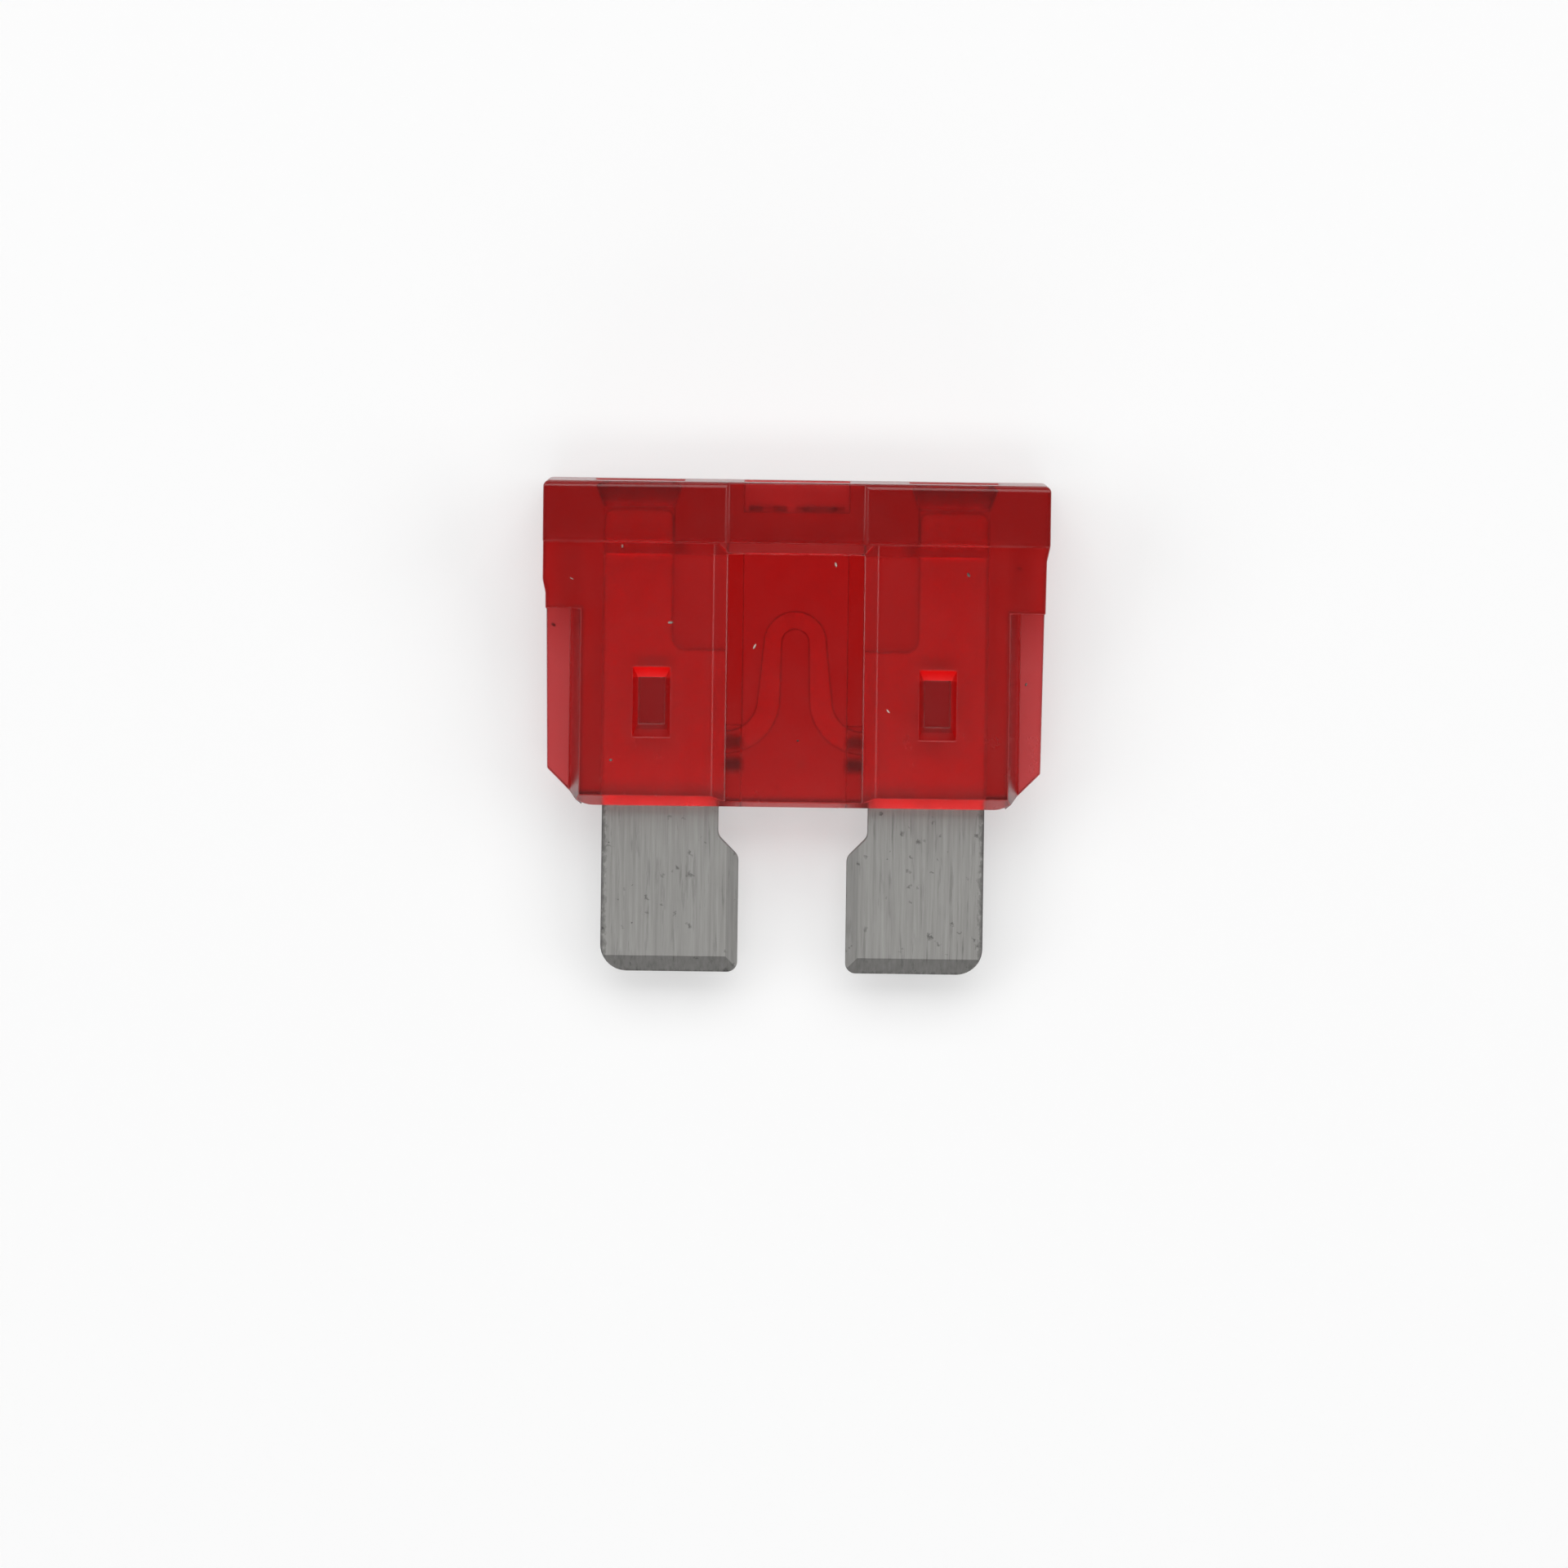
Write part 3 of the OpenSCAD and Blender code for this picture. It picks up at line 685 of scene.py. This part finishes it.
def dust_scatter():
    """Geometry nodes that scatter crumbs over the outer faces, off the floor and below the head's faces."""
    tree, given, out = new_group(
        "Dust scatter",
        "GeometryNodeTree",
        [
            ("Geometry", "NodeSocketGeometry"),
            ("Density", "NodeSocketFloat"),
            ("Size", "NodeSocketFloat"),
            ("Seed", "NodeSocketInt"),
            ("Middle", "NodeSocketVector"),
            ("Front", "NodeSocketVector"),
            ("Depth", "NodeSocketFloat"),
            ("Material", "NodeSocketMaterial"),
        ],
        [("Geometry", "NodeSocketGeometry")],
    )
    ask = given.outputs
    place = add(tree, "GeometryNodeInputPosition").outputs[0]
    facing = add(tree, "GeometryNodeInputNormal").outputs[0]
    height = along(tree, combined(tree, "SUBTRACT", place, ask["Middle"]), ask["Front"])
    side = calculated(tree, "SIGN", height)
    outward = calculated(tree, "MULTIPLY", along(tree, facing, ask["Front"]), side)
    outer = calculated(tree, "GREATER_THAN", outward, CRUMB_FACING)
    below = calculated(tree, "LESS_THAN", calculated(tree, "ABSOLUTE", height), ask["Depth"])
    where = calculated(tree, "MULTIPLY", outer, below)
    spots = add(
        tree,
        "GeometryNodeDistributePointsOnFaces",
        {
            "Mesh": ask["Geometry"],
            "Selection": where,
            "Density": ask["Density"],
            "Seed": ask["Seed"],
        },
    )
    level = add(tree, "ShaderNodeSeparateXYZ", {0: place}).outputs["Z"]
    off_floor = calculated(tree, "GREATER_THAN", level, ask["Size"])
    crumb = add(tree, "GeometryNodeMeshIcoSphere", {"Radius": ask["Size"], "Subdivisions": 2})
    strewn = add(
        tree,
        "GeometryNodeInstanceOnPoints",
        {
            "Points": spots.outputs["Points"],
            "Selection": off_floor,
            "Instance": crumb.outputs["Mesh"],
            "Rotation": random_vector(tree, (0, 0, 0), CRUMB_TURN, ask["Seed"]),
            "Scale": random_vector(tree, CRUMB_LEAST, CRUMB_MOST, ask["Seed"]),
        },
    )
    lot = add(tree, "FunctionNodeRandomValue", {2: 0, 3: 1, "Seed": ask["Seed"]}, data_type="FLOAT")
    toned = add(
        tree,
        "GeometryNodeStoreNamedAttribute",
        {"Geometry": strewn.outputs[0], "Name": "tone", "Value": lot.outputs[1]},
        data_type="FLOAT",
        domain="INSTANCE",
    )
    whole = add(tree, "GeometryNodeRealizeInstances", {"Geometry": toned.outputs[0]})
    coated = add(tree, "GeometryNodeSetMaterial", {"Geometry": whole.outputs[0], "Material": ask["Material"]})
    tree.links.new(coated.outputs[0], out.inputs[0])
    return tree


class FUSE_OT_dust(bpy.types.Operator):
    """Scatters dust and dirt over the plastic"""

    bl_idname = "fuse.dust"
    bl_label = "Scatter dust"

    def execute(self, context):
        settings = context.scene.fuse_dust
        housing = bpy.data.objects.get("fuse_housing")
        if housing is None:
            raise RuntimeError("the housing is built before its dust")
        carrier = bpy.data.objects.new("dust_carrier", housing.data.copy())
        context.scene.collection.objects.link(carrier)
        scatter = carrier.modifiers.new("Dust", "NODES")
        tree = dust_scatter()
        scatter.node_group = tree
        low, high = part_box("housing")
        values = {
            "Density": settings.density,
            "Size": settings.size,
            "Seed": settings.seed,
            "Middle": HEAD_TOP,
            "Front": FRONT,
            "Depth": CRUMB_DEPTH * (high.z - low.z),
            "Material": dust_material(),
        }
        for socket in tree.interface.items_tree:
            if socket.in_out == "INPUT" and socket.name in values:
                scatter[socket.identifier] = values[socket.name]
        context.view_layer.update()
        crumbs = bpy.data.meshes.new_from_object(carrier.evaluated_get(context.evaluated_depsgraph_get()))
        bpy.data.objects.remove(carrier)
        if not crumbs.polygons:
            raise RuntimeError("no dust was scattered")
        crumbs.materials.clear()
        crumbs.materials.append(values["Material"])
        crumbs.polygons.foreach_set("material_index", [0] * len(crumbs.polygons))
        piece = bpy.data.objects.new("dust_specks", crumbs)
        context.scene.collection.objects.link(piece)
        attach(piece, "root")
        return {"FINISHED"}


def area_light(name, direction, distance, size, watts, target):
    """Adds a soft light that looks at the target from a direction."""
    lamp = bpy.data.lights.new(name, "AREA")
    lamp.shape = "RECTANGLE"
    lamp.size, lamp.size_y = size
    lamp.energy = watts
    light = bpy.data.objects.new(name, lamp)
    way = Vector(direction).normalized()
    turn = way.to_track_quat("Z", "Y").to_matrix().to_4x4()
    light.matrix_world = Matrix.Translation(target + way * distance) @ turn
    bpy.context.scene.collection.objects.link(light)


class FUSE_OT_stage(bpy.types.Operator):
    """Sets up the floor, the lights and the camera"""

    bl_idname = "fuse.stage"
    bl_label = "Set stage"

    def execute(self, context):
        scene = context.scene
        settings = scene.fuse_stage
        low, high = CAD_BOX
        middle = (Vector(low) + Vector(high)) / 2
        self.floor(scene, settings)
        self.world(scene, settings)
        for name, direction, distance, size, watts in LIGHTS:
            area_light(name, direction, distance, size, watts, middle)
        lens = bpy.data.cameras.new("camera")
        lens.lens = settings.lens
        lens.shift_x, lens.shift_y = settings.shift
        lens.clip_start = CLIP_START
        camera = bpy.data.objects.new("camera", lens)
        distance = settings.frame_width * settings.lens / lens.sensor_width
        camera.location = middle + Vector((0, 0, distance))
        camera.rotation_euler = (0, 0, settings.roll)
        scene.collection.objects.link(camera)
        scene.camera = camera
        scene.view_settings.view_transform = "Standard"
        return {"FINISHED"}

    def floor(self, scene, settings):
        """The pale floor, a little grainy, and whiter where it is seen than where it lights the fuse."""
        half = settings.floor_width / 2
        corners = [(-half, -half, 0), (half, -half, 0), (half, half, 0), (-half, half, 0)]
        mesh = bpy.data.meshes.new("floor")
        mesh.from_pydata(corners, [], [(0, 1, 2, 3)])
        floor = bpy.data.objects.new("floor", mesh)
        scene.collection.objects.link(floor)
        made, tree, shader, out, own = new_material("floor")
        paper = use_group(tree, grain_group(), Vector=own, Scale=900, Stretch=1, Low=0.2, High=0.8)
        grain = between(tree, paper, 0, settings.graininess)
        tint = mixed(tree, grain, opaque(settings.floor), opaque(settings.floor_grain))
        tree.links.new(tint, shader.inputs["Base Color"])
        shader.inputs["Roughness"].default_value = 0.95
        shader.inputs["Specular IOR Level"].default_value = 0.1
        ray = add(tree, "ShaderNodeLightPath").outputs
        mirrored = calculated(tree, "MAXIMUM", ray["Is Camera Ray"], ray["Is Glossy Ray"])
        seen = calculated(tree, "MAXIMUM", mirrored, ray["Is Transmission Ray"])
        white = add(tree, "ShaderNodeEmission", {"Color": WHITE, "Strength": 1})
        whiteness = between(tree, seen, 0, settings.floor_white)
        blend = add(tree, "ShaderNodeMixShader", {0: whiteness, 1: shader.outputs[0], 2: white.outputs[0]})
        tree.links.new(blend.outputs[0], out.inputs["Surface"])
        mesh.materials.append(made)

    def world(self, scene, settings):
        """A white surround that dims from the horizon to the walls and on to the ceiling."""
        world = bpy.data.worlds.new("studio")
        scene.world = world
        world.use_nodes = True
        tree = world.node_tree
        tree.nodes.clear()
        way = add(tree, "ShaderNodeTexCoord")
        height = add(tree, "ShaderNodeSeparateXYZ", {0: way.outputs["Generated"]}).outputs["Z"]
        strength = 1
        for start, end, dimmed in ((HORIZON, WALLS, settings.walls), (WALLS, CEILING, settings.ceiling)):
            span = {"Value": height, "From Min": start, "From Max": end, "To Min": strength, "To Max": dimmed}
            strength = add(tree, "ShaderNodeMapRange", span).outputs[0]
        back = add(tree, "ShaderNodeBackground", {"Color": WHITE, "Strength": strength})
        add(tree, "ShaderNodeOutputWorld", {"Surface": back.outputs[0]})


class FUSE_PT_panel(bpy.types.Panel):
    """Settings and steps of the blade fuse"""

    bl_idname = "FUSE_PT_panel"
    bl_label = "Blade fuse"
    bl_space_type = "VIEW_3D"
    bl_region_type = "UI"
    bl_category = "Blade fuse"

    def draw(self, context):
        for operator, settings in STEPS:
            box = self.layout.box()
            group = getattr(context.scene, settings)
            for name in group.__annotations__:
                box.prop(group, name)
            box.operator(operator.bl_idname)


SETTINGS = (
    ("fuse_housing", FuseHousingSettings),
    ("fuse_element", FuseElementSettings),
    ("fuse_dust", FuseDustSettings),
    ("fuse_stage", FuseStageSettings),
)
STEPS = (
    (FUSE_OT_housing, "fuse_housing"),
    (FUSE_OT_element, "fuse_element"),
    (FUSE_OT_dust, "fuse_dust"),
    (FUSE_OT_stage, "fuse_stage"),
)
CLASSES = (*(group for name, group in SETTINGS), *(operator for operator, settings in STEPS), FUSE_PT_panel)


def register():
    """Registers the classes and the settings on the scene."""
    for item in CLASSES:
        bpy.utils.register_class(item)
    for name, group in SETTINGS:
        setattr(bpy.types.Scene, name, PointerProperty(type=group))


def unregister():
    """Takes the settings and the classes away again."""
    for name, group in reversed(SETTINGS):
        delattr(bpy.types.Scene, name)
    for item in reversed(CLASSES):
        bpy.utils.unregister_class(item)


def main():
    """Builds every piece and the stage."""
    register()
    bpy.ops.fuse.housing()
    bpy.ops.fuse.element()
    bpy.ops.fuse.dust()
    bpy.ops.fuse.stage()


if __name__ == "__main__":
    main()
